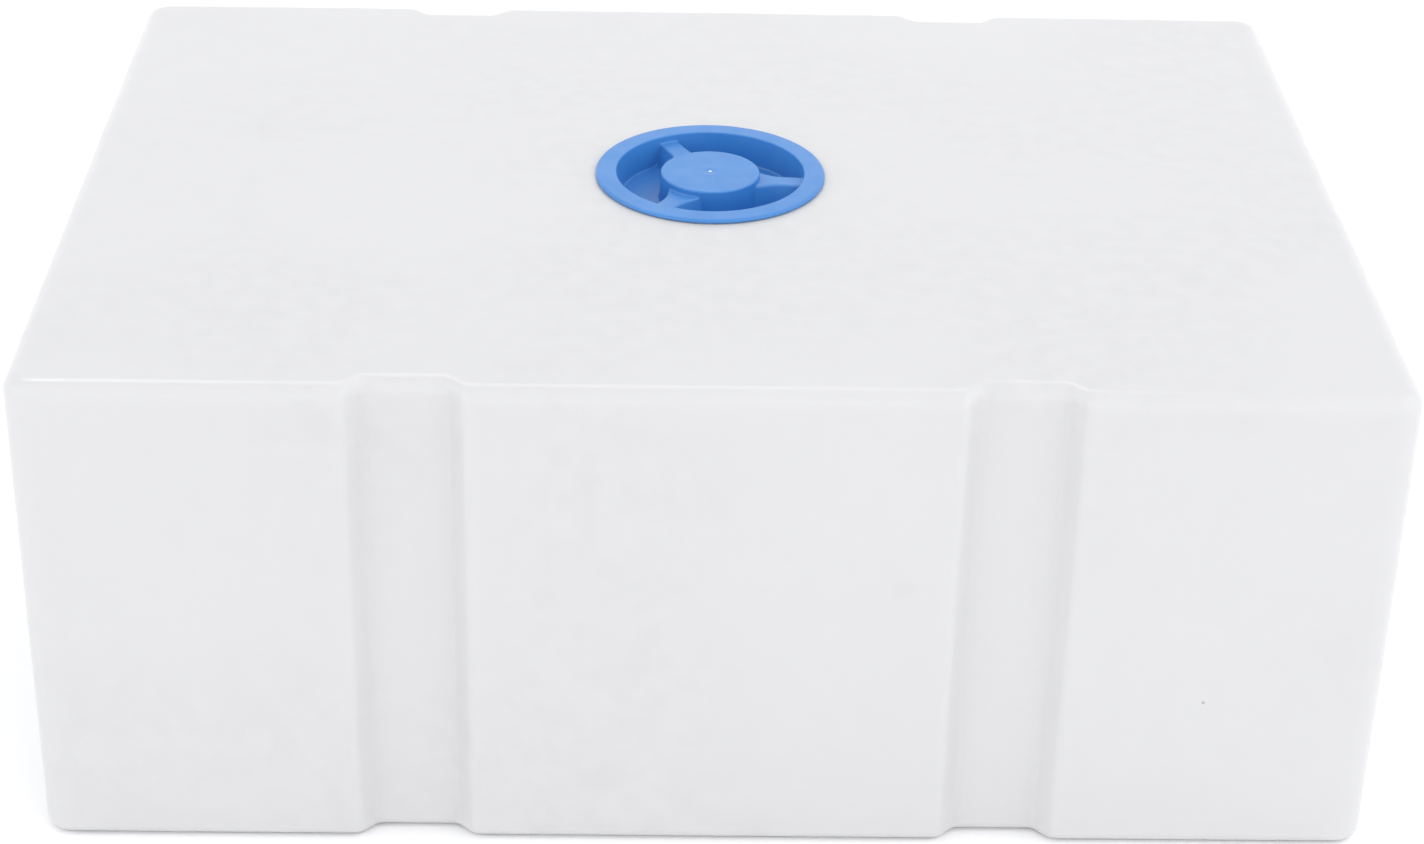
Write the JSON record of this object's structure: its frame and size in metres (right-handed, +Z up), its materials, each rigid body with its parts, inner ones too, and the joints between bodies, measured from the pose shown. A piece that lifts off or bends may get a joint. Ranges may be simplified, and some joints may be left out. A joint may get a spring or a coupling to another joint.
{
  "type": "water tank",
  "caption": "Rectangular polyethylene fresh water tank with a recessed screw lid on top, strap grooves front and back, and plugged threaded ports on its ends.",
  "frame": {"origin": "middle of the underside, on the surface that the tank stands on", "axes": "+X along the tank's length towards the outlet end, -Y out of the long front face with its two strap grooves, +Z up through the lid"},
  "size_m": [0.9306, 0.65, 0.3535],
  "materials": {
    "natural_polyethylene": "milky, slightly translucent, satin rotomoulded skin",
    "white_polypropylene": "satin moulded",
    "blue_polypropylene": "satin to glossy moulded",
    "black_rubber": "matte",
    "insert_brass": "turned, slightly dull",
    "black_polypropylene": "satin moulded"
  },
  "bodies": {
    "tank": {"tank_shell": "natural_polyethylene", "neck_ring": "white_polypropylene", "fill_insert": "insert_brass", "vent_insert": "insert_brass", "outlet_insert": "insert_brass", "drain_insert": "insert_brass"},
    "lid_seal": {"lid_gasket": "black_rubber"},
    "lid": {"screw_lid": "blue_polypropylene"},
    "fill_seal": {"fill_washer": "black_rubber"},
    "fill_stopper": {"fill_plug": "black_polypropylene"},
    "vent_seal": {"vent_washer": "black_rubber"},
    "vent_stopper": {"vent_plug": "black_polypropylene"},
    "outlet_seal": {"outlet_washer": "black_rubber"},
    "outlet_stopper": {"outlet_plug": "black_polypropylene"},
    "drain_seal": {"drain_washer": "black_rubber"},
    "drain_stopper": {"drain_plug": "black_polypropylene"}
  },
  "joints": [
    {"name": "lid_lift", "type": "slide", "parent": "tank", "child": "lid_seal", "axis": [0, 0, 1], "range_m": [0, 0.0321]},
    {"name": "lid_turn", "type": "hinge", "parent": "lid_seal", "child": "lid", "pos_m": [0, 0, 0.35], "axis": [0, 0, 1], "range_deg": [0, 1440]},
    {"name": "fill_draw", "type": "slide", "parent": "tank", "child": "fill_seal", "axis": [-1, 0, 0], "range_m": [0, 0.0128]},
    {"name": "fill_turn", "type": "hinge", "parent": "fill_seal", "child": "fill_stopper", "pos_m": [-0.45, 0.19, 0.275], "axis": [-1, 0, 0], "range_deg": [0, 1980]},
    {"name": "vent_draw", "type": "slide", "parent": "tank", "child": "vent_seal", "axis": [-1, 0, 0], "range_m": [0, 0.0119]},
    {"name": "vent_turn", "type": "hinge", "parent": "vent_seal", "child": "vent_stopper", "pos_m": [-0.45, 0.07, 0.285], "axis": [-1, 0, 0], "range_deg": [0, 2340]},
    {"name": "outlet_draw", "type": "slide", "parent": "tank", "child": "outlet_seal", "axis": [1, 0, 0], "range_m": [0, 0.0119]},
    {"name": "outlet_turn", "type": "hinge", "parent": "outlet_seal", "child": "outlet_stopper", "pos_m": [0.45, 0.04, 0.052], "axis": [1, 0, 0], "range_deg": [0, 2340]},
    {"name": "drain_draw", "type": "slide", "parent": "tank", "child": "drain_seal", "axis": [1, 0, 0], "range_m": [0, 0.0119]},
    {"name": "drain_turn", "type": "hinge", "parent": "drain_seal", "child": "drain_stopper", "pos_m": [0.45, 0.19, 0.052], "axis": [1, 0, 0], "range_deg": [0, 2340]}
  ],
  "couplings": [
    {"joint": "lid_lift", "follows": "lid_turn", "m_per_rad": 0.0012732},
    {"joint": "fill_draw", "follows": "fill_turn", "m_per_rad": 0.00036749},
    {"joint": "vent_draw", "follows": "vent_turn", "m_per_rad": 0.00028871},
    {"joint": "outlet_draw", "follows": "outlet_turn", "m_per_rad": 0.00028871},
    {"joint": "drain_draw", "follows": "drain_turn", "m_per_rad": 0.00028871}
  ]
}
